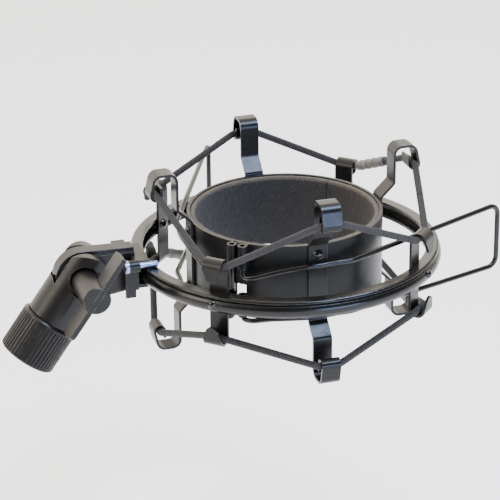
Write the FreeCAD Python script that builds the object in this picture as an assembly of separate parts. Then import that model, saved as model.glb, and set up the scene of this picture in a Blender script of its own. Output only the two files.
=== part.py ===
import FreeCAD, Part
import math
import os

os.makedirs("parts", exist_ok=True)

V = FreeCAD.Vector
X, Y, Z = V(1, 0, 0), V(0, 1, 0), V(0, 0, 1)

# ---------------------------------------------------------------- driving dimensions (mm)
# The origin is the centre of the microphone bore. The bore runs along Z and the stand side is -X.

# clamp cup
CUP_D = 76.0              # outside diameter of the sheet-metal cup
CUP_H = 30.0              # height of the cup
CUP_WALL = 1.2
FELT_T = 1.8              # felt liner thickness
FELT_SIT = 0.05           # glue line between the liner and the sheet
FELT_INSET = 0.3          # liner edge below the cup edge
SPLIT_AZ = 225.0          # where the cup opens
HINGE_AZ = SPLIT_AZ - 180.0
SPLIT_GAP = 5.2           # width of the opening between the two shells
HINGE_GAP = 0.12
FELT_LAP = 2.5            # degrees by which the liner's rear seam misses the sheet's seam
LAP_LOW = -2.5            # lower end of the felt tongue that bridges the opening

# rolled ears that hold the wire handles
EAR_OFF = 2.2             # ear centre to the middle of the opening
EAR_R = 1.85
EAR_L = 9.0
EAR_SHEET = 0.9
EAR_LOW_UP = 1.2          # lower ears above the lower edge of the cup
WIRE_D = 2.0              # handle wire
WIRE_FIT = 0.05           # radial clearance of the wire in its ear

# hinge at the back of the cup
PIN_R = 1.1
PIN_FIT = 0.05
KNUCKLE_R = 2.2
KNUCKLE_L = 4.2
KNUCKLE_GAP = 0.3
KNUCKLE_EDGE = 2.3        # from the cup edge to the first knuckle
SPRING_WIRE = 0.7
SPRING_TURNS = 5
SPRING_LEG = 9.0

# suspension ring
RING_D = 122.0
RING_H = 6.6
RING_DEPTH = 5.6          # radial size of the rolled channel
RING_SHEET = 1.1
RING_MID = -1.2           # height of the ring's mid-plane

# spring-steel straps (hooks)
STRAP_W = 7.5
STRAP_T = 1.0
STRAP_SIT = 0.05
RING_STRAP_SIT = 0.15     # the flat strap against the ring's round inner edge

# cup hooks, distances and heights of the strap's centre line
HOOK_LEG_OUT = 6.1        # leg, cradle and top corner, out from the cup's outside
HOOK_OUT_OUT = 16.3
HOOK_TOP_OUT = 14.7
HOOK_RISE = 6.0           # from the cup edge to the bend
HOOK_TOP = 20.8           # from the cup edge to the top of the hook
HOOK_CRADLE = 11.2        # from the cup edge to the bottom of the cradle
HOOK_TIP = 4.9            # height of the cradle's inner lip
HOOK_CORNER = 3.1
HOOK_BEND = 1.6

# ring hooks
TONGUE_BEND = 2.8         # radius of the curl
TONGUE_RISE = 14.0        # ring mid-plane to the curl centre
TONGUE_L = 5.0            # curl centre to the tip of the hanging tongue
TONGUE_TIP_R = 2.5        # the tongue narrows to this rounded tip
TONGUE_LEAN = 0.9         # outward lean of the tongue at its tip

# elastic
CORD_D = 2.7
CORD_BEND = 3.0
CORD_FIT = 0.15
SPLICE_D = 3.9
SPLICE_L = 20.0
SPLICE_SHARE = 0.69       # place of the sleeve's middle on the run from cup hook to ring hook

# rivets
RIVET_R = 1.25
RIVET_HEAD_R = 2.15
RIVET_HEAD_H = 1.35
RING_RIVET_HEAD_R = 1.8
RIVET_FIT = 0.03
CUP_RIVET_Z = 11.2

# handles
HANDLE_OUT = 3.3          # from the cup's outside to the wire that hugs it
HANDLE_BEND = 3.0
HANDLE_TIP_BEND = 4.0
RIGHT_TIP = (82.0, -18.0) # plan position of the end of each handle
LEFT_TIP = (-5.5, 84.0)
TIP_HALF = 13.0           # half the height of the loop's end
RIGHT_DROP = 12.8         # cup edge to the upper corner beside the ear
LEFT_DROP = 18.5
LOOP_LOW = 1.4            # lower corner below the lower ears
LEAVE_OUT = 4.6           # the same where the wire leaves the cup
RIGHT_LEAVE = 62.0        # angle from the opening to that point
LEFT_LEAVE = 67.0
UPPER_Z = 7.8             # height of the upper wire beside the cup
LOWER_Z = -13.0

# stand joint
PIVOT_OUT = 21.0          # from the ring's outside to the tilt axis
PIVOT_Z = RING_MID
BODY_TILT = 36.0          # lean of the swivel from the vertical
BODY_D = 19.8
CHEEK_R = 10.2
BODY_L = 20.5             # pivot to the collar
ARM_R = 10.3              # rounded end of the bracket arm
ARM_T = 6.0
SIDE_T = 1.2
SIDE_R = 8.6
SLOT_FIT = 0.2
SLOT_CLEAR = 1.0
SLOT_STEP = 7.7           # depth of the slot on the ring side, where the arm swings down
SLOT_STEP_X = 7.9
STUD_R = 2.5
STUD_FIT = 0.05
SCREW_R = 5.35
SCREW_L = 20.0
SEAT_R = 6.4
SEAT_Y = 6.4              # seat face from the middle plane
BAR_L = 36.6
BAR_W = 9.0
BAR_T = 2.0
BAR_FIT = 0.02
BAR_TOP_R = 0.8           # rounding of the bar's corners at each end
BAR_LOW_R = 2.6
NUT_AF = 8.0
NUT_T = 3.6
COLLAR_D = 22.5
COLLAR_L = 17.7
COLLAR_GAP = 0.3
COLLAR_RIBS = 48
RIB_R = 0.42
THREAD_D = 15.875         # 5/8 inch, 27 threads per inch
THREAD_CORE_D = 14.9
THREAD_DEPTH = 10.2       # from the collar's mouth
CLIP_ROOM = 3.0           # chamber above the thread for the clip
CLIP_ROOM_R = 8.2
SPIGOT_R = 4.4
SPIGOT_FIT = 0.06
CLIP_R = 6.0
CLIP_T = 0.9
CLIP_GAP = 0.15

# bracket foot at the ring
FOOT_T = 1.5
FOOT_W = 17.6
FOOT_GAP = 0.4            # foot to the ring's outer face
STRIP_T = 1.5
STRIP_RISE = 1.3
STRIP_REACH = 3.9
CHEEK_X = 4.2
REAR_TAB_L = 5.2          # flat tab at the far end of the foot
REAR_TAB_W = 6.4
FOOT_SCREW_R = 1.2
FOOT_SCREW_HEAD_R = 2.6
FOOT_SCREW_L = 12.9
FOOT_SCREW_OUT = 2.65     # the head stands this far out from the foot, on a boss
FOOT_SCREW_FIT = 0.03

# ---------------------------------------------------------------- values that follow
CUP_R = CUP_D / 2
HOOK_LEG_R = CUP_R + HOOK_LEG_OUT
HOOK_OUT_R = CUP_R + HOOK_OUT_OUT
HOOK_TOP_OUT_R = CUP_R + HOOK_TOP_OUT
HANDLE_R = CUP_R + HANDLE_OUT
LEAVE_R = CUP_R + LEAVE_OUT
CUP_TOP = CUP_H / 2
WALL_IN = CUP_R - CUP_WALL
FELT_OUT = WALL_IN - FELT_SIT
FELT_IN = FELT_OUT - FELT_T
EAR_AT = CUP_R + EAR_R + 0.3
WIRE_R = WIRE_D / 2
HINGE_AT = CUP_R + KNUCKLE_R + 0.4
RING_R = RING_D / 2
PIVOT_X = -(RING_R + PIVOT_OUT)
RING_IN = RING_R - RING_DEPTH
RING_TOP = RING_MID + RING_H / 2
CORD_R = CORD_D / 2
CUP_STRAP_R = CUP_R + STRAP_SIT + STRAP_T / 2
RING_STRAP_R = RING_IN - RING_STRAP_SIT - STRAP_T / 2
CRADLE_BEND = CORD_R + CORD_FIT + STRAP_T / 2
CRADLE_Z = CUP_TOP + HOOK_CRADLE + CRADLE_BEND
CRADLE_R = HOOK_OUT_R - CRADLE_BEND
CURL_R = RING_STRAP_R + TONGUE_BEND
CORD_AT_RING = CURL_R - 0.2
CORD_UP = TONGUE_BEND - STRAP_T / 2 - CORD_R - CORD_FIT
ELASTIC_UP_CUP = CRADLE_Z
ELASTIC_UP_RING = RING_MID + TONGUE_RISE + CORD_UP
ELASTIC_LOW_RING = RING_MID - TONGUE_RISE - CORD_UP
CUP_HOOK_AZ = [SPLIT_AZ + 225.0, SPLIT_AZ - 45.0, SPLIT_AZ + 45.0, SPLIT_AZ + 135.0]
RING_HOOK_AZ = [HINGE_AZ + 90.0, SPLIT_AZ, SPLIT_AZ + 90.0, HINGE_AZ]


# ---------------------------------------------------------------- helpers
def polar(radius, azimuth, height):
    """Point at a radius and azimuth (degrees) about the bore axis."""
    a = math.radians(azimuth)
    return V(radius * math.cos(a), radius * math.sin(a), height)


def cyl(radius, start, direction, length):
    return Part.makeCylinder(radius, length, start, direction)


def ring_of(r_out, r_in, z_low, z_high):
    outer = cyl(r_out, V(0, 0, z_low), Z, z_high - z_low)
    inner = cyl(r_in, V(0, 0, z_low - 1), Z, z_high - z_low + 2)
    return outer.cut(inner)


def sector(r_out, r_in, z_low, z_high, az_start, az_end):
    """Part of a tube between two azimuths, measured anticlockwise."""
    sweep = az_end - az_start
    outer = Part.makeCylinder(r_out, z_high - z_low, V(0, 0, z_low), Z, sweep)
    inner = cyl(r_in, V(0, 0, z_low - 1), Z, z_high - z_low + 2)
    shape = outer.cut(inner)
    shape.rotate(V(0, 0, 0), Z, az_start)
    return shape


def box_at(azimuth, r_low, r_high, t_low, t_high, z_low, z_high):
    """Box in the local frame of an azimuth: radial, tangential, vertical."""
    shape = Part.makeBox(r_high - r_low, t_high - t_low, z_high - z_low, V(r_low, t_low, z_low))
    shape.rotate(V(0, 0, 0), Z, azimuth)
    return shape


def corner_data(before, corner, after, radius):
    """Tangent points, centre and axis of the arc that rounds a corner."""
    u = before.sub(corner).normalize()
    w = after.sub(corner).normalize()
    turn = math.pi - math.acos(max(-1.0, min(1.0, u.dot(w))))
    if turn < 1e-4:
        return None
    reach = radius * math.tan(turn / 2)
    start = corner.add(V(u).multiply(reach))
    end = corner.add(V(w).multiply(reach))
    bisect = u.add(w).normalize()
    centre = corner.add(bisect.multiply(radius / math.cos(turn / 2)))
    axis = start.sub(centre).cross(end.sub(centre)).normalize()
    return start, end, centre, axis, math.degrees(turn)


def bent_rod(points, radius, bends, closed=False):
    """Round rod along straight lines with rounded corners."""
    count = len(points)
    arcs = {}
    for i in range(count):
        if not closed and i in (0, count - 1):
            continue
        data = corner_data(points[i - 1], points[i], points[(i + 1) % count], bends[i])
        if data:
            arcs[i] = data
    solids = []
    spans = count if closed else count - 1
    for i in range(spans):
        j = (i + 1) % count
        start = arcs[i][1] if i in arcs else points[i]
        end = arcs[j][0] if j in arcs else points[j]
        run = end.sub(start)
        if run.Length > 1e-6:
            solids.append(Part.makeCylinder(radius, run.Length, start, run))
    for i, (start, end, centre, axis, turn) in arcs.items():
        incoming = points[i].sub(points[i - 1])
        disc = Part.Face(Part.Wire(Part.makeCircle(radius, start, incoming)))
        solids.append(disc.revolve(centre, axis, turn))
    shape = solids[0].multiFuse(solids[1:])
    return shape.removeSplitter()


def strap(profile, bends, azimuth):
    """Flat strip of sheet bent along a profile of (radius, height) points."""
    pts = [V(r, 0, z) for r, z in profile]
    count = len(pts)
    edges = []
    last = pts[0]
    for i in range(1, count - 1):
        data = corner_data(pts[i - 1], pts[i], pts[i + 1], bends[i])
        if data is None:
            continue
        start, end, centre, axis, turn = data
        if start.sub(last).Length > 1e-6:
            edges.append(("line", last, start))
        edges.append(("arc", start, end, centre, axis, turn))
        last = end
    if pts[-1].sub(last).Length > 1e-6:
        edges.append(("line", last, pts[-1]))
    half = STRAP_T / 2
    solids = []
    for item in edges:
        if item[0] == "line":
            run = item[2].sub(item[1])
            along = V(run).normalize()
            start = item[1]
        else:
            radial = item[1].sub(item[3])
            along = item[4].cross(radial).normalize()
            start = item[1]
        normal = Y.cross(along).normalize()
        section = [start.add(V(normal).multiply(s * half)).add(V(0, t * STRAP_W / 2, 0))
                   for s, t in ((-1, -1), (1, -1), (1, 1), (-1, 1))]
        face = Part.Face(Part.makePolygon(section + [section[0]]))
        if item[0] == "line":
            solids.append(face.extrude(item[2].sub(item[1])))
        else:
            solids.append(face.revolve(item[3], item[4], item[5]))
    shape = solids[0].multiFuse(solids[1:]).removeSplitter()
    shape.rotate(V(0, 0, 0), Z, azimuth)
    return shape


def dome(base, direction, radius, height):
    """Domed rivet head standing on a base point."""
    ball_r = (radius * radius + height * height) / (2 * height)
    centre = base.add(V(direction).normalize().multiply(height - ball_r))
    ball = Part.makeSphere(ball_r, centre)
    keep = Part.makeCylinder(radius * 1.2, height * 1.5, base, direction)
    return ball.common(keep)


def save(name, shape):
    if shape.ShapeType == "Compound" and len(shape.Solids) == 1:
        shape = shape.Solids[0]
    shape.exportStep("parts/" + name + ".step")


def place_swivel(shape):
    """From the swivel's own frame (pivot at the origin, mouth down) to the part's frame."""
    shape.rotate(V(0, 0, 0), Y, BODY_TILT)
    shape.translate(V(PIVOT_X, 0, PIVOT_Z))
    return shape


# ---------------------------------------------------------------- clamp cup: shells, ears and knuckles
GAP_ANGLE = math.degrees(math.asin(SPLIT_GAP / 2 / CUP_R))
HINGE_ANGLE = math.degrees(math.asin(HINGE_GAP / 2 / CUP_R))
KNUCKLE_STEP = KNUCKLE_L + KNUCKLE_GAP


def ear_centre(side):
    """Centre line of a rolled ear; side is +1 for the right shell and -1 for the left."""
    a = math.radians(SPLIT_AZ)
    return V(EAR_AT * math.cos(a) - side * EAR_OFF * math.sin(a),
             EAR_AT * math.sin(a) + side * EAR_OFF * math.cos(a), 0)


def shell(side):
    if side > 0:
        start, end = SPLIT_AZ + GAP_ANGLE, HINGE_AZ + 360 - HINGE_ANGLE
    else:
        start, end = HINGE_AZ + HINGE_ANGLE, SPLIT_AZ - GAP_ANGLE
    body = sector(CUP_R, WALL_IN, -CUP_TOP, CUP_TOP, start, end)
    adds = []
    centre = ear_centre(side)
    for z_low in (CUP_TOP - EAR_L, -CUP_TOP + EAR_LOW_UP):
        adds.append(cyl(EAR_R, centre.add(V(0, 0, z_low)), Z, EAR_L))
        near, far = SPLIT_GAP / 2, SPLIT_GAP / 2 + EAR_SHEET
        low, high = (near, far) if side > 0 else (-far, -near)
        adds.append(box_at(SPLIT_AZ, WALL_IN + 0.3, EAR_AT, low, high, z_low, z_low + EAR_L))
    hinge = polar(HINGE_AT, HINGE_AZ, 0)
    first = KNUCKLE_EDGE if side > 0 else KNUCKLE_EDGE + KNUCKLE_STEP
    web_low, web_high = (-KNUCKLE_R, -HINGE_GAP / 2) if side > 0 else (HINGE_GAP / 2, KNUCKLE_R)
    for top in (CUP_TOP - first, -CUP_TOP + first + KNUCKLE_L):
        adds.append(cyl(KNUCKLE_R, hinge.add(V(0, 0, top - KNUCKLE_L)), Z, KNUCKLE_L))
        adds.append(box_at(HINGE_AZ, WALL_IN + 0.4, HINGE_AT, web_low, web_high, top - KNUCKLE_L, top))
    body = body.multiFuse(adds)
    cuts = [cyl(WIRE_R + WIRE_FIT, centre.add(V(0, 0, -CUP_TOP - 1)), Z, CUP_H + 2),
            cyl(PIN_R + PIN_FIT, hinge.add(V(0, 0, -CUP_TOP - 1)), Z, CUP_H + 2)]
    own = CUP_HOOK_AZ[2:] if side > 0 else CUP_HOOK_AZ[:2]
    for az in own:
        for z in (CUP_RIVET_Z, -CUP_RIVET_Z):
            cuts.append(cyl(RIVET_R + RIVET_FIT, polar(WALL_IN - 2, az, z), polar(1, az, 0), 6))
    return body.cut(Part.makeCompound(cuts)).removeSplitter()


save("clamp_shell_right", shell(1))
save("clamp_shell_left", shell(-1))

felt_top = CUP_TOP - FELT_INSET
tab_end = SPLIT_AZ + GAP_ANGLE + 1.5
felt_left = sector(FELT_OUT, FELT_IN, -felt_top, felt_top, HINGE_AZ - FELT_LAP, SPLIT_AZ - GAP_ANGLE)
felt_left = felt_left.fuse(sector(FELT_OUT, FELT_IN, LAP_LOW, felt_top, SPLIT_AZ - GAP_ANGLE - 1, tab_end))
save("felt_left", felt_left.removeSplitter())
felt_end = HINGE_AZ + 360 - FELT_LAP - HINGE_ANGLE
felt_right = sector(FELT_OUT, FELT_IN, -felt_top, felt_top, SPLIT_AZ + GAP_ANGLE, felt_end)
felt_notch = sector(FELT_OUT + 1, FELT_IN - 1, LAP_LOW - 0.3, felt_top + 1, SPLIT_AZ, tab_end + 0.5)
save("felt_right", felt_right.cut(felt_notch).removeSplitter())

# ---------------------------------------------------------------- hinge pin and closing spring
hinge_base = polar(HINGE_AT, HINGE_AZ, -CUP_TOP)
pin = cyl(PIN_R, hinge_base.add(V(0, 0, KNUCKLE_EDGE - 0.4)), Z, CUP_H - 2 * KNUCKLE_EDGE + 0.8)
for level, direction in ((CUP_TOP - KNUCKLE_EDGE + 0.15, 1), (-CUP_TOP + KNUCKLE_EDGE - 0.15, -1)):
    base = polar(HINGE_AT, HINGE_AZ, level)
    pin = pin.fuse(dome(base, V(0, 0, direction), PIN_R + 0.6, 0.8))
save("hinge_pin", pin.removeSplitter())

coil_r = PIN_R + 0.35 + SPRING_WIRE / 2
coil_room = CUP_H - 2 * (KNUCKLE_EDGE + 2 * KNUCKLE_STEP)
coil_pitch = (coil_room - SPRING_WIRE - 0.6) / SPRING_TURNS
coil_h = coil_pitch * SPRING_TURNS
helix = Part.makeHelix(coil_pitch, coil_h, coil_r)
coil_face = Part.Wire(Part.makeCircle(SPRING_WIRE / 2, V(coil_r, 0, 0), Y))
coil = Part.Wire(helix.Edges).makePipeShell([coil_face], True, True)
leg_low = cyl(SPRING_WIRE / 2, V(coil_r, 0.3, 0), V(0.12, -1, 0), SPRING_LEG)
leg_high = cyl(SPRING_WIRE / 2, V(coil_r, -0.3, coil_h), V(0.12, 1, 0), SPRING_LEG)
spring = coil.multiFuse([leg_low, leg_high])
spring.rotate(V(0, 0, 0), Z, 180)
spring.translate(V(0, 0, -coil_h / 2))
spring.rotate(V(0, 0, 0), Z, HINGE_AZ)
spring.translate(polar(HINGE_AT, HINGE_AZ, 0))
save("closing_spring", spring)

# ---------------------------------------------------------------- cup hooks and their rivets
upper_hook = [
    (HOOK_OUT_R - 2 * CRADLE_BEND, CUP_TOP + HOOK_CRADLE + HOOK_TIP),
    (HOOK_OUT_R - 2 * CRADLE_BEND, CUP_TOP + HOOK_CRADLE),
    (HOOK_OUT_R, CUP_TOP + HOOK_CRADLE),
    (HOOK_OUT_R, CUP_TOP + HOOK_CRADLE + 2.4),
    (HOOK_TOP_OUT_R, CUP_TOP + HOOK_TOP),
    (HOOK_LEG_R, CUP_TOP + HOOK_TOP),
    (HOOK_LEG_R, CUP_TOP + HOOK_RISE),
    (CUP_STRAP_R, CUP_TOP + 0.6),
]
cradle_bend = CRADLE_BEND - 0.001
hook_bends = [0, cradle_bend, cradle_bend, 1.0, HOOK_CORNER, HOOK_CORNER, HOOK_BEND, HOOK_BEND]
hook_profile = upper_hook + [(r, -z) for r, z in reversed(upper_hook)]
hook_radii = hook_bends + list(reversed(hook_bends))
for number, az in enumerate(CUP_HOOK_AZ, 1):
    hook = strap(hook_profile, hook_radii, az)
    rivets = []
    for z in (CUP_RIVET_Z, -CUP_RIVET_Z):
        out = polar(1, az, 0)
        hook = hook.cut(cyl(RIVET_R + RIVET_FIT, polar(WALL_IN - 2, az, z), out, 6))
        face = CUP_STRAP_R + STRAP_T / 2
        shank = cyl(RIVET_R, polar(WALL_IN + 0.1, az, z), out, face - WALL_IN)
        rivets.append(shank.fuse(dome(polar(face + 0.02, az, z), out, RIVET_HEAD_R, RIVET_HEAD_H)))
    save("cup_hook_%d" % number, hook)
    save("cup_rivets_%d" % number, Part.makeCompound([r.removeSplitter() for r in rivets]))

# ---------------------------------------------------------------- suspension ring
half = RING_H / 2


def ring_profile():
    """Rolled channel, open towards the cup, with a bead line and a full lower roll outside."""
    z = RING_MID
    top = V(RING_IN, 0, z + half)
    shoulder_in = V(RING_R - 1.9, 0, z + half)
    shoulder_mid = V(RING_R - 1.2, 0, z + half - 0.25)
    shoulder_out = V(RING_R - 0.95, 0, z + half - 0.9)
    groove = V(RING_R - 1.65, 0, z + half - 1.35)
    roll_top = V(RING_R - 0.8, 0, z + half - 1.8)
    roll_mid = V(RING_R, 0, z - 0.35)
    roll_low = V(RING_R - 1.1, 0, z - half + 0.3)
    low_in = V(RING_R - 1.7, 0, z - half)
    edges = [
        Part.makeLine(top, shoulder_in),
        Part.Arc(shoulder_in, shoulder_mid, shoulder_out).toShape(),
        Part.makeLine(shoulder_out, groove),
        Part.makeLine(groove, roll_top),
        Part.Arc(roll_top, roll_mid, roll_low).toShape(),
        Part.makeLine(roll_low, low_in),
    ]
    inner = [low_in, V(RING_IN, 0, z - half), V(RING_IN, 0, z - half + RING_SHEET),
             V(RING_R - 2.6, 0, z - half + RING_SHEET), V(RING_R - 2.6, 0, z + half - RING_SHEET),
             V(RING_IN, 0, z + half - RING_SHEET), top]
    for a, b in zip(inner, inner[1:]):
        edges.append(Part.makeLine(a, b))
    return Part.Face(Part.Wire(edges))


outer_ring = ring_profile().revolve(V(0, 0, 0), Z, 360)
holes = []
for az in RING_HOOK_AZ:
    holes.append(cyl(RIVET_R + RIVET_FIT, polar(RING_IN, az, RING_MID), polar(1, az, 0), RING_DEPTH + 1))
outer_ring = outer_ring.cut(Part.makeCompound(holes))
save("outer_ring", outer_ring)

# ---------------------------------------------------------------- ring hooks and their rivets
tongue_r = RING_STRAP_R + 2 * TONGUE_BEND
tongue_tip = TONGUE_RISE - TONGUE_L
ring_upper = [
    (tongue_r + TONGUE_LEAN, RING_MID + tongue_tip),
    (tongue_r, RING_MID + TONGUE_RISE + TONGUE_BEND),
    (RING_STRAP_R, RING_MID + TONGUE_RISE + TONGUE_BEND),
]
ring_lower = [(r, 2 * RING_MID - z) for r, z in reversed(ring_upper)]
ring_profile_pts = ring_upper + ring_lower
ring_radii = [0, TONGUE_BEND - 0.001, TONGUE_BEND - 0.001] * 2
ring_radii = ring_radii[:3] + [TONGUE_BEND - 0.001, TONGUE_BEND - 0.001, 0]


def tongue_waste():
    """What is trimmed off a square strap end to leave the tongue narrowed and round."""
    half_w = STRAP_W / 2
    tip = RING_MID + tongue_tip
    level = tip + TONGUE_TIP_R
    top = RING_MID + TONGUE_RISE
    near = RING_STRAP_R + TONGUE_BEND
    edge = [V(near, -TONGUE_TIP_R, level), V(near, TONGUE_TIP_R, level), V(near, half_w + 0.1, top),
            V(near, -half_w - 0.1, top)]
    keep = Part.Face(Part.makePolygon(edge + [edge[0]])).extrude(V(12, 0, 0))
    keep = keep.fuse(cyl(TONGUE_TIP_R, V(near, 0, level), X, 12))
    block = Part.makeBox(10, 2 * half_w + 2, top - tip + 2, V(near + 1, -half_w - 1, tip - 2))
    return block.cut(keep)


waste = tongue_waste()
waste_low = waste.mirror(V(0, 0, RING_MID), Z)
for number, az in enumerate(RING_HOOK_AZ, 1):
    hook = strap(ring_profile_pts, ring_radii, az)
    out = polar(1, az, 0)
    trim = Part.makeCompound([waste, waste_low])
    trim.rotate(V(0, 0, 0), Z, az)
    hook = hook.cut(trim)
    inner_face = RING_STRAP_R - STRAP_T / 2
    hook = hook.cut(cyl(RIVET_R + RIVET_FIT, polar(inner_face - 1, az, RING_MID), out, STRAP_T + 2))
    save("ring_hook_%d" % number, hook.removeSplitter())
    shank = cyl(RIVET_R, polar(inner_face - 0.3, az, RING_MID), out, RING_R - inner_face + 0.1)
    outer_head = dome(polar(RING_R - 0.35, az, RING_MID), out, RING_RIVET_HEAD_R, RIVET_HEAD_H)
    inner_head = dome(polar(inner_face - 0.02, az, RING_MID), polar(-1, az, 0), RIVET_HEAD_R, RIVET_HEAD_H)
    outer_head = outer_head.cut(ring_profile().revolve(V(0, 0, 0), Z, 360))
    rivet = shank.multiFuse([outer_head, inner_head])
    save("ring_rivet_%d" % number, rivet.removeSplitter())


# ---------------------------------------------------------------- elastics
def elastic_points(cup_z, ring_z):
    """Corner points of one elastic, two at every hook, anticlockwise from the +X cup hook."""
    step = STRAP_W / 2 + 0.75
    stops = []
    for az in sorted([a % 360 for a in CUP_HOOK_AZ]):
        stops.append((az, CRADLE_R, cup_z))
        stops.append((az + 45.0, CORD_AT_RING, ring_z))
    points = []
    for az, r, z in stops:
        centre = polar(r, az, z)
        tangent = polar(1, az + 90.0, 0)
        points.append(centre.sub(V(tangent).multiply(step)))
        points.append(centre.add(V(tangent).multiply(step)))
    return points


def splice(points, index, share):
    """Lumpy shrunk sleeve over the straight run after a corner point."""
    a, b = points[index], points[(index + 1) % len(points)]
    run = b.sub(a)
    middle = a.add(V(run).multiply(share))
    along = V(run).normalize()
    start = middle.sub(V(along).multiply(SPLICE_L / 2))
    sleeve = cyl(SPLICE_D / 2, start, along, SPLICE_L)
    for at in (-0.36, -0.12, 0.12, 0.36):
        ridge = middle.add(V(along).multiply(SPLICE_L * at - 0.8))
        sleeve = sleeve.fuse(cyl(SPLICE_D / 2 + 0.2, ridge, along, 1.6))
    return sleeve.cut(cyl(CORD_R + 0.02, start.sub(V(along)), along, SPLICE_L + 2)).removeSplitter()


for name, cup_z, ring_z, index in (("upper", ELASTIC_UP_CUP, ELASTIC_UP_RING, 1),
                                   ("lower", -ELASTIC_UP_CUP, ELASTIC_LOW_RING, 5)):
    route = elastic_points(cup_z, ring_z)
    save(name + "_elastic", bent_rod(route, CORD_R, [CORD_BEND] * len(route), True))
    save(name + "_splice_sleeve", splice(route, index, SPLICE_SHARE))


# ---------------------------------------------------------------- wire handles
def handle(side, drop, leave, tip):
    """One closed wire loop with both ends turned up into the ears of its shell."""
    ear = ear_centre(side)
    corner_z = CUP_TOP - drop
    end_z = CUP_TOP - 0.8
    low_end = -CUP_TOP + EAR_LOW_UP + EAR_L - 0.8
    loop_low = -CUP_TOP + EAR_LOW_UP - LOOP_LOW

    def beside(angle, radius, z):
        return polar(radius, SPLIT_AZ + side * angle, z)

    steps = 6
    first = math.degrees(EAR_OFF / EAR_AT) + 6.0
    upper = [ear.add(V(0, 0, end_z)), ear.add(V(0, 0, corner_z))]
    lower = [ear.add(V(0, 0, low_end)), ear.add(V(0, 0, loop_low))]
    for k in range(steps):
        part = k / (steps - 1)
        angle = first + (leave - 6.0 - first) * part
        rise = math.sin(min(1.0, part * 1.5) * math.pi / 2)
        rise_low = math.sin(min(1.0, part * 3.0) * math.pi / 2)
        upper.append(beside(angle, HANDLE_R, corner_z + 0.6 + (UPPER_Z - corner_z - 0.6) * rise))
        lower.append(beside(angle, HANDLE_R, loop_low + 0.3 + (LOWER_Z - loop_low - 0.3) * rise_low))
    upper.append(beside(leave, LEAVE_R, UPPER_Z))
    lower.append(beside(leave, LEAVE_R, LOWER_Z))
    upper.append(V(tip[0], tip[1], TIP_HALF))
    lower.append(V(tip[0], tip[1], -TIP_HALF))
    points = upper + list(reversed(lower))
    bends = []
    for i in range(len(points)):
        if i in (1, len(points) - 2):
            bends.append(HANDLE_BEND * 0.5)
        elif i in (len(upper) - 1, len(upper)):
            bends.append(HANDLE_TIP_BEND)
        else:
            bends.append(HANDLE_R)
    for i in range(2, len(points) - 2):
        if bends[i] == HANDLE_R:
            before = points[i].sub(points[i - 1])
            after = points[i + 1].sub(points[i])
            turn = before.getAngle(after)
            room = min(before.Length, after.Length) * 0.45
            bends[i] = min(HANDLE_R, room / max(1e-6, math.tan(turn / 2)))
    return bent_rod(points, WIRE_R, bends)


save("handle_right", handle(1, RIGHT_DROP, RIGHT_LEAVE, RIGHT_TIP))
save("handle_left", handle(-1, LEFT_DROP, LEFT_LEAVE, LEFT_TIP))

# ---------------------------------------------------------------- ring bracket
foot_in = -(RING_R + FOOT_GAP)
foot_out = foot_in - FOOT_T
arm_top = PIVOT_Z + ARM_R
arm_low = PIVOT_Z - 7.4
outline = Part.makePolygon([V(PIVOT_X, 0, arm_top), V(foot_in - 0.2, 0, arm_top - 0.6),
                            V(foot_in - 0.2, 0, arm_low), V(PIVOT_X, 0, PIVOT_Z - ARM_R),
                            V(PIVOT_X, 0, arm_top)])
arm = Part.Face(outline).extrude(V(0, ARM_T, 0))
arm.translate(V(0, -ARM_T / 2, 0))
arm = arm.fuse(cyl(ARM_R, V(PIVOT_X, -ARM_T / 2, PIVOT_Z), Y, ARM_T))
side_full = ARM_T + 2 * SIDE_T
side_plate = cyl(SIDE_R, V(PIVOT_X, -side_full / 2, PIVOT_Z), Y, side_full)
side_top = PIVOT_Z + SIDE_R
side_poly = Part.makePolygon([V(PIVOT_X, 0, side_top), V(foot_in - 0.2, 0, side_top - 0.5),
                              V(foot_in - 0.2, 0, arm_low + 0.8), V(PIVOT_X, 0, PIVOT_Z - SIDE_R),
                              V(PIVOT_X, 0, side_top)])
side_arm = Part.Face(side_poly).extrude(V(0, side_full, 0))
side_arm.translate(V(0, -side_full / 2, 0))
foot_low = RING_MID - RING_H / 2 - 2.4
strip_low = RING_TOP + STRIP_RISE
strip_high = strip_low + STRIP_T
foot = Part.makeBox(FOOT_T, FOOT_W, strip_high - foot_low, V(foot_out, -FOOT_W / 2, foot_low))
strip = Part.makeBox(FOOT_T + FOOT_GAP + STRIP_REACH, FOOT_W, STRIP_T, V(foot_out, -FOOT_W / 2, strip_low))
ledge_h = STRIP_T
ledge_low = RING_MID - RING_H / 2 - ledge_h - 0.2
ledge = Part.makeBox(FOOT_T + FOOT_GAP + STRIP_REACH, FOOT_W, ledge_h, V(foot_out, -FOOT_W / 2, ledge_low))
adds = [side_plate, side_arm, foot, strip, ledge]
for sign in (-1, 1):
    y_low = -FOOT_W / 2 if sign < 0 else FOOT_W / 2 - SIDE_T
    cheek_at = V(foot_out - CHEEK_X + 0.5, y_low, foot_low)
    adds.append(Part.makeBox(CHEEK_X, SIDE_T, RING_TOP - foot_low, cheek_at))
tab_w = 4.0
adds.append(Part.makeBox(tab_w, SIDE_T, 3.2, V(foot_out - CHEEK_X + 0.5, -FOOT_W / 2, foot_low - 3.0)))
rear_tab_at = V(foot_out - REAR_TAB_L + 1.6, FOOT_W / 2 - 1.2, strip_low)
adds.append(Part.makeBox(REAR_TAB_L, REAR_TAB_W, STRIP_T, rear_tab_at))
screw_y = -FOOT_W / 2 - FOOT_SCREW_R + 0.35
screw_z = RING_TOP + FOOT_SCREW_R + 0.1
lug_r = FOOT_SCREW_R + 1.3
adds.append(cyl(lug_r, V(foot_out - FOOT_SCREW_OUT, screw_y, screw_z), X, FOOT_T + FOOT_SCREW_OUT))
bracket = arm.multiFuse(adds)
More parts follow.
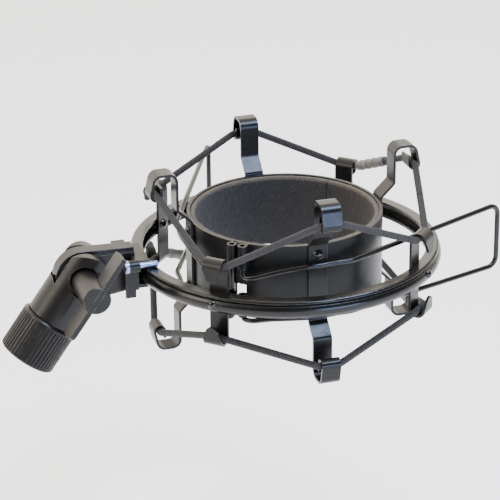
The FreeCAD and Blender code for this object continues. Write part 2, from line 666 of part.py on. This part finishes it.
screw_cut = cyl(FOOT_SCREW_R + FOOT_SCREW_FIT, V(foot_out - 9, screw_y, screw_z), X, FOOT_SCREW_L + 12)
head_cut = cyl(FOOT_SCREW_HEAD_R + 0.1, V(foot_out - FOOT_SCREW_OUT - 9, screw_y, screw_z), X, 9)
stud_cut = cyl(STUD_R + STUD_FIT, V(PIVOT_X, -side_full, PIVOT_Z), Y, 2 * side_full)
bracket = bracket.cut(Part.makeCompound([screw_cut, stud_cut])).cut(head_cut).removeSplitter()
save("ring_bracket", bracket)

head_at = foot_out - FOOT_SCREW_OUT - 1.6
head = cyl(FOOT_SCREW_HEAD_R, V(head_at, screw_y, screw_z), X, 1.55)
head = head.makeChamfer(0.4, [e for e in head.Edges if abs(e.CenterOfMass.x - head_at) < 0.05])
shank = cyl(FOOT_SCREW_R, V(head_at + 1.5, screw_y, screw_z), X, FOOT_SCREW_L - 1.5)
save("bracket_screw", head.fuse(shank).removeSplitter())

# ---------------------------------------------------------------- swivel body, in its own frame
slot_half = side_full / 2 + SLOT_FIT
top_room = CHEEK_R + 1
body = cyl(BODY_D / 2, V(0, 0, -BODY_L), Z, BODY_L + top_room)
keep = cyl(CHEEK_R, V(0, -BODY_D, 0), Y, 2 * BODY_D)
keep = keep.fuse(Part.makeBox(2 * BODY_D, 2 * BODY_D, BODY_L + 1, V(-BODY_D, -BODY_D, -BODY_L - 1)))
body = body.common(keep)
slot_r = ARM_R + SLOT_CLEAR
slot = cyl(slot_r, V(0, -slot_half, 0), Y, 2 * slot_half)
slot = slot.fuse(Part.makeBox(4 * slot_r, 2 * slot_half, slot_r + 10, V(-2 * slot_r, -slot_half, 0)))
step_at = V(SLOT_STEP_X, -slot_half, -SLOT_STEP)
slot = slot.fuse(Part.makeBox(BODY_D, 2 * slot_half, SLOT_STEP, step_at))
bore_depth = THREAD_DEPTH + CLIP_ROOM
spigot_low = -(BODY_L + COLLAR_GAP + COLLAR_L - bore_depth + CLIP_GAP + CLIP_T + 0.8)
spigot = cyl(SPIGOT_R, V(0, 0, spigot_low), Z, -BODY_L - spigot_low + 0.5)
groove_z = -(BODY_L + COLLAR_GAP + COLLAR_L - bore_depth + CLIP_GAP + CLIP_T)
groove = ring_of(SPIGOT_R + 1, SPIGOT_R - 0.7, groove_z - 0.05, groove_z + CLIP_T + 0.05)
seat_near = cyl(SEAT_R, V(0, -SEAT_Y - 10, 0), Y, 10)
hex_pts = [V((NUT_AF + 0.2) / math.sqrt(3) * math.cos(math.radians(60 * k)), SEAT_Y - 1.4,
             (NUT_AF + 0.2) / math.sqrt(3) * math.sin(math.radians(60 * k))) for k in range(6)]
nut_pocket = Part.Face(Part.makePolygon(hex_pts + [hex_pts[0]])).extrude(V(0, 12, 0))
stud_hole = cyl(STUD_R + STUD_FIT, V(0, -BODY_D, 0), Y, 2 * BODY_D)
body = body.fuse(spigot).cut(Part.makeCompound([slot, groove])).cut(seat_near).cut(nut_pocket).cut(stud_hole)
save("swivel_body", place_swivel(body.removeSplitter()))

# ---------------------------------------------------------------- collar and its clip
collar_top = -(BODY_L + COLLAR_GAP)
collar_low = collar_top - COLLAR_L
collar = cyl(COLLAR_D / 2, V(0, 0, collar_low), Z, COLLAR_L)
rims = [e for e in collar.Edges if e.Curve.TypeId == "Part::GeomCircle"]
collar = collar.makeChamfer(0.7, rims)
cuts = [cyl(THREAD_CORE_D / 2, V(0, 0, collar_low - 1), Z, THREAD_DEPTH + 1),
        cyl(CLIP_ROOM_R, V(0, 0, collar_low + THREAD_DEPTH), Z, CLIP_ROOM),
        cyl(SPIGOT_R + SPIGOT_FIT, V(0, 0, collar_low), Z, COLLAR_L + 1)]
for k in range(COLLAR_RIBS):
    a = 2 * math.pi * k / COLLAR_RIBS
    spot = V(COLLAR_D / 2 * math.cos(a), COLLAR_D / 2 * math.sin(a), collar_low + 0.4)
    cuts.append(cyl(RIB_R, spot, Z, COLLAR_L - 1.6))
mouth = Part.makeCone(THREAD_D / 2 + 0.3, THREAD_CORE_D / 2, 0.9, V(0, 0, collar_low), Z)
collar = collar.cut(Part.makeCompound(cuts)).cut(mouth)
save("stand_collar", place_swivel(collar))

clip = ring_of(CLIP_R, SPIGOT_R - 0.6, groove_z, groove_z + CLIP_T)
clip = clip.cut(Part.makeBox(20, 3.0, CLIP_T + 2, V(0, -1.5, groove_z - 1)))
save("collar_clip", place_swivel(clip))

# ---------------------------------------------------------------- tilt screw, bar and nut
face_y = -SEAT_Y - 0.05
barrel = cyl(SCREW_R, V(0, face_y - SCREW_L, 0), Y, SCREW_L)
ends = [e for e in barrel.Edges if e.Curve.TypeId == "Part::GeomCircle"]
barrel = barrel.makeChamfer(0.35, ends)
stud_end = SEAT_Y + NUT_T - 0.6
barrel = barrel.fuse(cyl(STUD_R, V(0, face_y - 0.5, 0), Y, stud_end - face_y + 0.5))
bar_y = face_y - SCREW_L
bar_slot = Part.makeBox(BAR_T + 2 * BAR_FIT, BAR_W + 0.2, 4 * SCREW_R,
                        V(-BAR_T / 2 - BAR_FIT, bar_y - 0.1, -2 * SCREW_R))
save("tilt_screw", place_swivel(barrel.cut(bar_slot).removeSplitter()))

bar = Part.makeBox(BAR_T, BAR_W, BAR_L, V(-BAR_T / 2, bar_y, -BAR_L / 2))
across = [e for e in bar.Edges if abs(e.CenterOfMass.x) < 0.01]
corners = [e for e in across if abs(abs(e.CenterOfMass.z) - BAR_L / 2) < 0.01]
top_ends = [e for e in corners if e.CenterOfMass.z > 0]
low_ends = [e for e in corners if e.CenterOfMass.z < 0]
bar = bar.makeFillet(BAR_TOP_R, top_ends)
low_ends = [e for e in bar.Edges if abs(e.CenterOfMass.z + BAR_L / 2) < 0.01 and abs(e.CenterOfMass.x) < 0.01]
bar = bar.makeFillet(BAR_LOW_R, low_ends)
save("tilt_screw_bar", place_swivel(bar))

nut_pts = [V(NUT_AF / math.sqrt(3) * math.cos(math.radians(60 * k)), SEAT_Y - 1.35,
             NUT_AF / math.sqrt(3) * math.sin(math.radians(60 * k))) for k in range(6)]
nut = Part.Face(Part.makePolygon(nut_pts + [nut_pts[0]])).extrude(V(0, NUT_T, 0))
save("tilt_nut", place_swivel(nut.cut(cyl(STUD_R + STUD_FIT, V(0, 0, 0), Y, 30))))
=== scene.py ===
import bpy
import bmesh
import math
import random
from mathutils import Matrix, Vector


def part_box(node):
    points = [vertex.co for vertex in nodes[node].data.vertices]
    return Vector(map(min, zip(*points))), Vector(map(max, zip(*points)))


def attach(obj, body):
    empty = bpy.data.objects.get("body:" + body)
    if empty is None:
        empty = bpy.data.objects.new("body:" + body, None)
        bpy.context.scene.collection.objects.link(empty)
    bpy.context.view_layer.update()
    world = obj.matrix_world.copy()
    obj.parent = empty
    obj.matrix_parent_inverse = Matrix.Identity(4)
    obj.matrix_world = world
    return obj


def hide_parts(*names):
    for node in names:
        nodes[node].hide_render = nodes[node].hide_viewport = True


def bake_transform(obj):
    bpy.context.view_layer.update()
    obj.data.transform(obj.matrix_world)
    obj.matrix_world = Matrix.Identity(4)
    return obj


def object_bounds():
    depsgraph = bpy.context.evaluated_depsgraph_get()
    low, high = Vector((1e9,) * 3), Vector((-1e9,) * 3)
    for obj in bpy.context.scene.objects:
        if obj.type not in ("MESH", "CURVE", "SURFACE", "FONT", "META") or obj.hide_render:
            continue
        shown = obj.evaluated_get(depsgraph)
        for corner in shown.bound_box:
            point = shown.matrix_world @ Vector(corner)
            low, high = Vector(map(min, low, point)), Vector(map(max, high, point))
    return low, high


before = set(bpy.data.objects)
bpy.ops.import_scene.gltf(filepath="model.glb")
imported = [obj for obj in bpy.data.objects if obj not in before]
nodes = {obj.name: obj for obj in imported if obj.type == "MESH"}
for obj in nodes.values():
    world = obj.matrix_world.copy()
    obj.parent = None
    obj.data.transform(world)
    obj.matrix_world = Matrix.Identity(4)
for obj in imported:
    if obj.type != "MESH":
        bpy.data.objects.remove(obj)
cad_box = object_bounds()
random.seed(7)
scene = bpy.context.scene
collection = scene.collection

# sizes in metres
CORD_RADIUS = 0.00135
CORD_BEND = 0.003         # radius of the elastic's bend at a hook
CORD_STEP = 0.0012        # spacing of the points along the elastic
CORD_AT_RING = 0.05735    # radius at which the elastic lies in a ring hook
CRADLE_DEPTH = 0.0025     # from the outside of a cup hook to the middle of its elastic
CORD_PAST_STRAP = 0.00075
BRAID_PITCH = 0.45        # units of the braid UV per cord diameter
SLEEVE_VOXEL = 0.00035
FELT_VOXEL = 0.0006
FELT_R_IN, FELT_R_OUT = 0.03495, 0.03675
FUZZ_PER_HALF_TURN = 2600
FUZZ_WIDTH = 0.00003
FLOOR_SIZE = 12.0
FLOOR_DROP = 0.10


# ------------------------------------------------------------------ camera
camera_data = bpy.data.cameras.new("camera")
camera = bpy.data.objects.new("camera", camera_data)
collection.objects.link(camera)
camera_data.sensor_width = 36.0
camera_data.lens = 156.98
camera_data.clip_start = 0.05
camera_data.clip_end = 20.0
right = Vector((0.95158, -0.30727, -0.00851))
up = Vector((0.12805, 0.37110, 0.91972))
back = Vector((-0.27945, -0.87628, 0.39248))
turn = Matrix((right, up, back)).transposed().to_4x4()
camera.matrix_world = Matrix.Translation((-0.25121, -0.74302, 0.33222)) @ turn
scene.camera = camera


# ------------------------------------------------------------------ material helpers
class Nodes:
    """Short way to build a node material."""

    def __init__(self, name):
        self.material = bpy.data.materials.new(name)
        self.material.use_nodes = True
        self.tree = self.material.node_tree
        self.shader = self.tree.nodes["Principled BSDF"]
        self.place = self.tree.nodes.new("ShaderNodeTexCoord").outputs["Object"]

    def node(self, kind, **values):
        made = self.tree.nodes.new("ShaderNode" + kind)
        for key, value in values.items():
            if key in made.inputs:
                self.put(made.inputs[key], value)
            else:
                setattr(made, key, value)
        return made

    def put(self, socket, value):
        if isinstance(value, bpy.types.NodeSocket):
            self.tree.links.new(value, socket)
        else:
            socket.default_value = value

    def set(self, **values):
        for key, value in values.items():
            self.put(self.shader.inputs[key.replace("_", " ")], value)

    def noise(self, scale, detail=4.0, rough=0.6, vector=None):
        made = self.node("TexNoise", Scale=scale, Detail=detail, Roughness=rough)
        self.tree.links.new(vector or self.place, made.inputs["Vector"])
        return made.outputs["Fac"]

    def ramp(self, fac, low, high, a, b):
        made = self.node("MapRange")
        self.put(made.inputs["Value"], fac)
        made.inputs["From Min"].default_value = low
        made.inputs["From Max"].default_value = high
        made.inputs["To Min"].default_value = a
        made.inputs["To Max"].default_value = b
        return made.outputs["Result"]

    def mix(self, fac, a, b):
        made = self.node("Mix", data_type="RGBA")
        self.put(made.inputs["Factor"], fac)
        self.put(made.inputs["A"], a)
        self.put(made.inputs["B"], b)
        colour = [o for o in made.outputs if o.type == "RGBA"][0]
        return colour

    def math(self, kind, a, b=0.0):
        made = self.node("Math", operation=kind)
        self.put(made.inputs[0], a)
        self.put(made.inputs[1], b)
        return made.outputs[0]

    def bump(self, height, strength, distance, under=None):
        made = self.node("Bump", Strength=strength, Distance=distance)
        self.put(made.inputs["Height"], height)
        if under:
            self.put(made.inputs["Normal"], under)
        return made.outputs["Normal"]

    def edges(self, radius):
        """Softly broken edges, as paint leaves them."""
        return self.node("Bevel", samples=4, Radius=radius).outputs["Normal"]

    def edge_mask(self, radius):
        """1 along sharp edges, 0 on open faces."""
        round_normal = self.edges(radius)
        flat = self.node("NewGeometry").outputs["Normal"]
        dot = self.node("VectorMath", operation="DOT_PRODUCT")
        self.put(dot.inputs[0], round_normal)
        self.put(dot.inputs[1], flat)
        return self.ramp(dot.outputs["Value"], 0.995, 0.86, 0.0, 1.0)


def grey(value, warm=0.0):
    """Grey of a brightness, tinted warm above 0 and cool below."""
    return (value * (1 + warm), value, value * (1 - warm), 1.0)


def paint(name, value, warm, rough, coat, edge=0.0003, edge_wear_and_highlight=0.25, peel_depth=0.10, gloss=0.3):
    """Black stove enamel: fine orange peel, a film of dust, and edges painted a lighter warm grey, partly
    rubbed wear and partly painted edge highlight.
    """
    n = Nodes(name)
    peel = n.noise(1100.0, 2.0, 0.5)
    cloud = n.noise(38.0, 4.0, 0.6)
    speck = n.noise(2600.0, 2.0, 0.6)
    patchy_wear_and_highlight = n.ramp(n.noise(420.0, 6.0, 0.8), 0.45, 0.62, 0.15, 1.0)
    # painted edge highlight: sharp edges, broken up by noise, are marked to be lightened, partly as real
    # rubbed wear and partly as the bright edge lines that light draws
    wear_and_edge_highlight = n.math("MULTIPLY", n.edge_mask(edge * 1.4), n.math("MULTIPLY", patchy_wear_and_highlight, edge_wear_and_highlight))
    base = n.mix(cloud, grey(value * 0.8, warm), grey(value * 1.25, warm))
    dusty = n.mix(n.ramp(speck, 0.66, 0.80, 0.0, 0.30), base, grey(value * 3.0 + 0.012, warm))
    # the light warm grey laid on those edges is partly wear and partly a painted edge highlight
    n.set(Base_Color=n.mix(wear_and_edge_highlight, dusty, grey(0.30, 0.10)))
    n.set(Roughness=n.ramp(n.noise(300.0, 5.0, 0.7), 0.3, 0.7, rough - 0.04, rough + 0.06))
    n.set(Metallic=0.0, IOR=1.42, Specular_IOR_Level=gloss)
    n.set(Coat_Weight=coat, Coat_Roughness=0.16, Coat_IOR=1.4)
    n.set(Normal=n.bump(peel, peel_depth, 0.0002, n.edges(edge)))
    return n.material


def bright_metal(name, colour, rough, grain):
    """Plated or bare metal with fine drawn lines; grain stretches them along an axis."""
    n = Nodes(name)
    stretch = n.node("Mapping")
    n.put(stretch.inputs["Vector"], n.place)
    stretch.inputs["Scale"].default_value = grain
    lines = n.noise(700.0, 3.0, 0.6, stretch.outputs["Vector"])
    tint = n.noise(140.0, 4.0, 0.6)
    n.set(Base_Color=n.mix(tint, (*[c * 0.7 for c in colour], 1.0), (*colour, 1.0)))
    n.set(Metallic=1.0, Roughness=n.ramp(lines, 0.2, 0.8, rough - 0.07, rough + 0.1))
    n.set(Normal=n.bump(lines, 0.15, 0.0002, n.edges(0.0002)))
    return n.material


# ------------------------------------------------------------------ materials
enamel_ring = paint("enamel_ring", 0.004, 0.05, rough=0.24, coat=0.12, edge=0.0002,
                    edge_wear_and_highlight=0.35, peel_depth=0.06, gloss=0.35)
enamel_strap = paint("enamel_strap", 0.004, 0.04, rough=0.30, coat=0.05, edge=0.0002, edge_wear_and_highlight=0.4)
enamel_cup = paint("enamel_cup", 0.003, -0.06, rough=0.34, coat=0.05, edge=0.0002,
                   edge_wear_and_highlight=0.4, peel_depth=0.08, gloss=0.25)
enamel_stand = paint("enamel_stand", 0.005, 0.10, rough=0.36, coat=0.05, edge=0.0004, edge_wear_and_highlight=0.4)
enamel_wire = paint("enamel_wire", 0.003, 0.04, rough=0.20, coat=0.1, edge=0.0001,
                    edge_wear_and_highlight=0.15, peel_depth=0.05, gloss=0.4)
rivet_black = paint("rivet_black", 0.003, -0.05, rough=0.16, coat=0.2, edge=0.0001,
                    edge_wear_and_highlight=0.15, peel_depth=0.04, gloss=0.5)
collar_black = paint("collar_black", 0.004, 0.08, rough=0.36, coat=0.05, edge=0.00012, edge_wear_and_highlight=0.5)
steel = bright_metal("plated_steel", (0.30, 0.36, 0.55), 0.30, (1.0, 6.0, 6.0))
spring_steel = bright_metal("spring_steel", (0.38, 0.37, 0.36), 0.3, (1.0, 1.0, 6.0))


def felt_material():
    """Grey wool felt: mottled fibre colour, matted pile, and a paler brown cut edge at the top."""
    n = Nodes("felt_grey")
    fibre = n.noise(1500.0, 6.0, 0.8)
    clump = n.noise(520.0, 5.0, 0.75)
    patch = n.noise(45.0, 3.0, 0.6)
    dark = n.mix(n.ramp(fibre, 0.3, 0.7, 0.0, 1.0), (0.003, 0.003, 0.004, 1), (0.045, 0.042, 0.040, 1))
    light = n.mix(clump, dark, (0.018, 0.017, 0.018, 1))
    body = n.mix(n.ramp(patch, 0.3, 0.7, 0.0, 0.35), light, (0.010, 0.010, 0.012, 1))
    split = n.node("SeparateXYZ")
    n.put(split.inputs[0], n.place)
    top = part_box("felt_left")[1].z
    ragged = n.math("ADD", split.outputs["Z"], n.math("MULTIPLY", clump, 0.0012))
    edge = n.ramp(ragged, top - 0.0012, top + 0.0002, 0.0, 0.85)
    tan = n.mix(fibre, (0.05, 0.040, 0.030, 1), (0.20, 0.165, 0.125, 1))
    n.set(Base_Color=n.mix(edge, body, tan))
    n.set(Roughness=0.97, IOR=1.35)
    n.set(Sheen_Weight=0.12, Sheen_Roughness=0.5, Sheen_Tint=(0.60, 0.56, 0.52, 1))
    height = n.math("ADD", n.math("MULTIPLY", fibre, 0.6), clump)
    n.set(Normal=n.bump(height, 0.9, 0.0008))
    return n.material


def fuzz_material():
    """Loose light-brown wool fibres."""
    n = Nodes("felt_fuzz")
    tone = n.noise(900.0, 2.0, 0.5)
    n.set(Base_Color=n.mix(tone, (0.06, 0.05, 0.04, 1), (0.24, 0.21, 0.17, 1)))
    n.set(Roughness=0.9, Sheen_Weight=0.3, Sheen_Roughness=0.5)
    return n.material


def braid_material():
    """Woven sleeve of the elastic: two sets of strands crossing at a slant."""
    n = Nodes("braid_black")
    uv = n.node("UVMap", uv_map="braid").outputs["UV"]
    split = n.node("SeparateXYZ")
    n.put(split.inputs[0], uv)
    along, around = split.outputs["X"], split.outputs["Y"]
    plus = n.math("ADD", n.math("MULTIPLY", along, 7.5), n.math("MULTIPLY", around, 7.0))
    minus = n.math("SUBTRACT", n.math("MULTIPLY", along, 7.5), n.math("MULTIPLY", around, 7.0))
    waves = []
    for turn_value in (plus, minus):
        waves.append(n.math("ABSOLUTE", n.math("SINE", n.math("MULTIPLY", turn_value, math.pi))))
    weave = n.math("MULTIPLY", waves[0], waves[1])
    fibre = n.noise(2600.0, 3.0, 0.7)
    lift = n.math("ADD", weave, n.math("MULTIPLY", fibre, 0.35))
    raised = n.ramp(lift, 0.35, 1.15, 0.0, 1.0)
    n.set(Base_Color=n.mix(raised, (0.001, 0.001, 0.002, 1), (0.075, 0.070, 0.066, 1)))
    n.set(Roughness=0.72, IOR=1.45)
    n.set(Sheen_Weight=0.10, Sheen_Roughness=0.4, Sheen_Tint=(0.6, 0.56, 0.5, 1))
    n.set(Normal=n.bump(lift, 1.0, 0.0006))
    return n.material


def sleeve_material():
    """Lumpy grey sleeve shrunk over the elastic's splice."""
    n = Nodes("shrink_sleeve")
    lump = n.noise(350.0, 5.0, 0.7)
    n.set(Base_Color=n.mix(n.ramp(lump, 0.3, 0.7, 0.0, 1.0), (0.03, 0.028, 0.027, 1), (0.15, 0.14, 0.13, 1)))
    n.set(Roughness=0.5, IOR=1.5)
    n.set(Normal=n.bump(lump, 0.7, 0.0004))
    return n.material


felt = felt_material()
fuzz = fuzz_material()
braid = braid_material()
sleeve = sleeve_material()

finish = {
    "outer_ring": enamel_ring, "ring_bracket": enamel_stand, "swivel_body": enamel_stand,
    "stand_collar": collar_black, "tilt_screw": enamel_stand, "tilt_screw_bar": enamel_stand,
    "tilt_nut": steel, "bracket_screw": steel, "collar_clip": spring_steel,
    "hinge_pin": spring_steel, "closing_spring": spring_steel,
    "clamp_shell_left": enamel_cup, "clamp_shell_right": enamel_cup,
    "handle_left": enamel_wire, "handle_right": enamel_wire,
}
for k in range(1, 5):
    finish["cup_hook_%d" % k] = enamel_strap
    finish["ring_hook_%d" % k] = enamel_strap
    finish["cup_rivets_%d" % k] = rivet_black
    finish["ring_rivet_%d" % k] = rivet_black
for name, material in finish.items():
    mesh = nodes[name].data
    mesh.materials.clear()
    mesh.materials.append(material)


# ------------------------------------------------------------------ elastics
def mesh_object(name, mesh, material):
    """New object with one material."""
    made = bpy.data.objects.new(name, mesh)
    collection.objects.link(made)
    mesh.materials.append(material)
    return made


def remeshed(node, name, material, voxel, add_modifiers):
    """Copy of a CAD node's solid as one fine even skin, with the modifiers that a caller adds applied."""
    copy = mesh_object(name, node.data.copy(), material)
    copy.data.materials.clear()
    bm = bmesh.new()
    bm.from_mesh(copy.data)
    bmesh.ops.remove_doubles(bm, verts=bm.verts, dist=1e-6)
    bmesh.ops.recalc_face_normals(bm, faces=bm.faces)
    bm.to_mesh(copy.data)
    bm.free()
    remesh = copy.modifiers.new("remesh", "REMESH")
    remesh.mode = "VOXEL"
    remesh.voxel_size = voxel
    remesh.use_smooth_shade = True
    add_modifiers(copy)
    bpy.context.view_layer.update()
    evaluated = copy.evaluated_get(bpy.context.evaluated_depsgraph_get())
    copy.data = bpy.data.meshes.new_from_object(evaluated)
    copy.modifiers.clear()
    copy.data.materials.clear()
    copy.data.materials.append(material)
    return copy


def hook_stops(level_cup, level_ring):
    """Places where the elastic lies in its hooks, two at each, from the CAD hooks' boxes."""
    hook_low, hook_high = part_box("cup_hook_4")
    strap_half = (hook_high.y - hook_low.y) / 2
    cup_r = hook_high.x - CRADLE_DEPTH
    stops = []
    for k in range(8):
        a = math.radians(45.0 * k)
        r, z = (CORD_AT_RING, level_ring) if k % 2 else (cup_r, level_cup)
        for side in (-1, 1):
            t = side * (strap_half + CORD_PAST_STRAP)
            x = r * math.cos(a) - t * math.sin(a)
            y = r * math.sin(a) + t * math.cos(a)
            stops.append(Vector((x, y, z)))
    return stops


def rounded(points, radius, step):
    """Closed line through the points with its corners rounded, sampled about every step."""
    line = []
    count = len(points)
    for i in range(count):
        p, q, r = points[i - 1], points[i], points[(i + 1) % count]
        u, w = (p - q).normalized(), (r - q).normalized()
        turn_angle = math.pi - u.angle(w)
        reach = radius * math.tan(turn_angle / 2)
        first, last = q + u * reach, q + w * reach
        centre = q + (u + w).normalized() * (radius / math.cos(turn_angle / 2))
        a, b = first - centre, last - centre
        spans = max(3, int(radius * turn_angle / step))
        for k in range(spans + 1):
            share = k / spans
            line.append(centre + a.slerp(b, share).normalized() * radius)
        after = points[(i + 2) % count]
        w2 = (after - r).normalized()
        turn_next = math.pi - (q - r).angle(w2)
        reach_next = radius * math.tan(turn_next / 2)
        stop = r + (q - r).normalized() * reach_next
        run = stop - last
        spans = max(2, int(run.length / step))
        for k in range(1, spans):
            line.append(last + run * (k / spans))
    return line


def tube(name, line, stretches, radius, material, sides=16):
    """Tube along stretches of a closed line, capped, with a braid UV that follows its length."""
    mesh = bpy.data.meshes.new(name)
    bm = bmesh.new()
    layer = bm.loops.layers.uv.new("braid")
    count = len(line)
    reached = [0.0]
    for i in range(count):
        reached.append(reached[-1] + (line[(i + 1) % count] - line[i]).length)

    def ring(i):
        tangent = (line[(i + 1) % count] - line[i - 1]).normalized()
        side_way = tangent.cross(Vector((0, 0, 1))).normalized()
        upward = side_way.cross(tangent)
        turns = [2 * math.pi * k / sides for k in range(sides)]
        spokes = [side_way * math.cos(a) + upward * math.sin(a) for a in turns]
        return [bm.verts.new(line[i] + spoke * radius) for spoke in spokes]

    for stretch in stretches:
        rings = [ring(i) for i in stretch]
        for here, there, i in zip(rings, rings[1:], stretch):
            for k in range(sides):
                m = (k + 1) % sides
                face = bm.faces.new((here[k], there[k], there[m], here[m]))
                face.smooth = True
                values = ((i, k), (i + 1, k), (i + 1, k + 1), (i, k + 1))
                for loop, (at, around) in zip(face.loops, values):
                    loop[layer].uv = (reached[at] / (2 * radius) * BRAID_PITCH, around / sides)
        bm.faces.new(rings[0])
        bm.faces.new(rings[-1])
    bmesh.ops.recalc_face_normals(bm, faces=bm.faces)
    bm.to_mesh(mesh)
    bm.free()
    return mesh_object(name, mesh, material)


def stretches_of(line, split_z, cup_side):
    """Consecutive points of a closed line by where they belong: the ring, the right or the left jaw."""
    def place(p):
        if (p.z - split_z) * cup_side < 0:
            return "ring"
        return "right" if p.x > p.y else "left"

    count = len(line)
    first = next(i for i in range(count) if place(line[i]) != place(line[i - 1]))
    found = {"ring": [], "right": [], "left": []}
    run = []
    for step in range(count):
        i = (first + step) % count
        run.append(i)
        if place(line[i]) != place(line[(i + 1) % count]):
            found[place(line[i])].append(run + [(i + 1) % count])
            run = []
    return found


upper_low, upper_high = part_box("upper_elastic")
lower_low, lower_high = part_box("lower_elastic")
levels = {
    "upper": (upper_high.z - CORD_RADIUS, upper_low.z + CORD_RADIUS),
    "lower": (lower_low.z + CORD_RADIUS, lower_high.z - CORD_RADIUS),
}


def elastic(which, level_cup, level_ring):
    """One elastic in three pieces: what the ring's hooks hold, and the ends that each jaw carries."""
    line = rounded(hook_stops(level_cup, level_ring), CORD_BEND, CORD_STEP)
    split_z = (level_cup + level_ring) / 2
    found = stretches_of(line, split_z, math.copysign(1.0, level_cup))
    cord = tube(which + "_cord", line, found["ring"], CORD_RADIUS, braid)
    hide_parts(which + "_elastic")
    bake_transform(cord)
    for side in ("right", "left"):
        end = tube(which + "_cord_" + side, line, found[side], CORD_RADIUS, braid)
        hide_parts(which + "_elastic")
        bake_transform(end)


def smoothed(piece):
    smooth = piece.modifiers.new("smooth", "SMOOTH")
    smooth.iterations = 6


def splice(which, level_cup, level_ring):
    """Sleeve over the elastic's splice."""
    node = nodes[which + "_splice_sleeve"]
    piece = remeshed(node, which + "_splice", sleeve, SLEEVE_VOXEL, smoothed)
    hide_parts(which + "_splice_sleeve")
    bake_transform(piece)


for which in ("upper", "lower"):
    elastic(which, *levels[which])
for which in ("upper", "lower"):
    splice(which, *levels[which])


# ------------------------------------------------------------------ felt liner
def matted(piece):
    """Two sizes of lump pushed into the skin."""
    for size, strength in ((0.0022, 0.00022), (0.0007, 0.00018)):
        texture = bpy.data.textures.new(piece.name + "_mat", "CLOUDS")
        texture.noise_scale = size
        texture.noise_depth = 3
        move = piece.modifiers.new("matting", "DISPLACE")
        move.texture = texture
        move.texture_coords = "GLOBAL"
        move.strength = strength
        move.mid_level = 0.62


def felt_piece(name, body):
    """The CAD liner with a matted surface."""
    piece = remeshed(nodes[name], name + "_lining", felt, FELT_VOXEL, matted)
    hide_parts(name)
    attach(piece, body)


def jitter(low_z, high_z):
    return Vector((random.uniform(-1, 1), random.uniform(-1, 1), random.uniform(low_z, high_z)))


def fuzz_fibres(name, body, start, end):
    """Loose wool fibres that stand along the liner's top edge and over its inner face."""
    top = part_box("felt_left")[1].z
    mesh = bpy.data.meshes.new(name)
    bm = bmesh.new()
    arc = math.radians(end - start)
    for _ in range(int(FUZZ_PER_HALF_TURN * (end - start) / 180.0)):
        a = math.radians(start) + arc * random.random()
        if random.random() < 0.72:
            r = FELT_R_IN + (FELT_R_OUT - FELT_R_IN) * random.random()
            base = Vector((r * math.cos(a), r * math.sin(a), top - 0.0002))
            lean = jitter(0.1, 0.9)
            length = random.uniform(0.0003, 0.0009)
        else:
            z = top - random.random() ** 1.5 * 0.02
            base = Vector((FELT_R_IN * math.cos(a), FELT_R_IN * math.sin(a), z))
            inward = Vector((-math.cos(a), -math.sin(a), 0))
            lean = inward * 0.4 + jitter(-1, 1)
            length = random.uniform(0.0004, 0.0011)
        lean.normalize()
        across = lean.cross(Vector((random.uniform(-1, 1), random.uniform(-1, 1), 0.3))).normalized()
        across *= FUZZ_WIDTH
        bend = jitter(-1, 1) * length * 0.3
        mid = base + lean * length * 0.5 + bend
        tip = base + lean * length
        corners = (base - across, base + across, mid + across * 0.8, mid - across * 0.8)
        quad = [bm.verts.new(p) for p in corners]
        end_vert = bm.verts.new(tip)
        bm.faces.new(quad)
        bm.faces.new((quad[3], quad[2], end_vert))
    bm.to_mesh(mesh)
    bm.free()
    made = mesh_object(name, mesh, fuzz)
    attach(made, body)


felt_piece("felt_left", "jaw_left")
felt_piece("felt_right", "jaw_right")
fuzz_fibres("felt_fuzz_left", "jaw_left", 46.0, 232.0)
fuzz_fibres("felt_fuzz_right", "jaw_right", 231.0, 404.0)


# ------------------------------------------------------------------ stage and light
def plane(name, size, z, material):
    """Square of the stage."""
    mesh = bpy.data.meshes.new(name)
    h = size / 2
    mesh.from_pydata([(-h, -h, z), (h, -h, z), (h, h, z), (-h, h, z)], [], [(0, 1, 2, 3)])
    made = mesh_object(name, mesh, material)


pale = Nodes("pale_floor")
pale.set(Base_Color=(0.95, 0.95, 0.95, 1), Roughness=0.95)
pale.set(Emission_Color=(0.97, 0.98, 1.0, 1), Emission_Strength=0.6)
plane("floor", FLOOR_SIZE, cad_box[0][2] - FLOOR_DROP, pale.material)

# the world is dark in front of the object and light behind it
world = bpy.data.worlds.new("world")
scene.world = world
world.use_nodes = True
sky_tree = world.node_tree
sky = sky_tree.nodes["Background"]
where = sky_tree.nodes.new("ShaderNodeTexCoord")
lean = sky_tree.nodes.new("ShaderNodeVectorMath")
lean.operation = "DOT_PRODUCT"
lean.inputs[1].default_value = Vector((-0.25, 0.90, 0.35)).normalized()
grade = sky_tree.nodes.new("ShaderNodeMapRange")
grade.inputs["From Min"].default_value = -0.3
grade.inputs["From Max"].default_value = 0.8
grade.inputs["To Min"].default_value = 0.15
grade.inputs["To Max"].default_value = 3.7
sky_tree.links.new(where.outputs["Generated"], lean.inputs[0])
sky_tree.links.new(lean.outputs["Value"], grade.inputs["Value"])
sky_tree.links.new(grade.outputs["Result"], sky.inputs["Strength"])
sky.inputs["Color"].default_value = (1.0, 0.92, 0.80, 1)


def area(name, place, size, size_y, power, colour):
    """Soft light that faces the middle of the bore."""
    data = bpy.data.lights.new(name, "AREA")
    data.shape = "RECTANGLE"
    data.size = size
    data.size_y = size_y
    data.energy = power
    data.color = colour
    lamp = bpy.data.objects.new(name, data)
    collection.objects.link(lamp)
    lamp.location = place
    lamp.rotation_euler = (-Vector(place)).to_track_quat("-Z", "Y").to_euler()


area("cool_top", (0.24, -0.34, 0.80), 0.35, 0.3, 14.0, (0.55, 0.70, 1.0))
area("cool_front", (0.36, -1.05, 0.10), 0.6, 0.2, 9.0, (0.45, 0.62, 1.0))
area("warm_left", (-1.0, -0.1, 0.5), 0.5, 0.5, 6.0, (1.0, 0.93, 0.82))
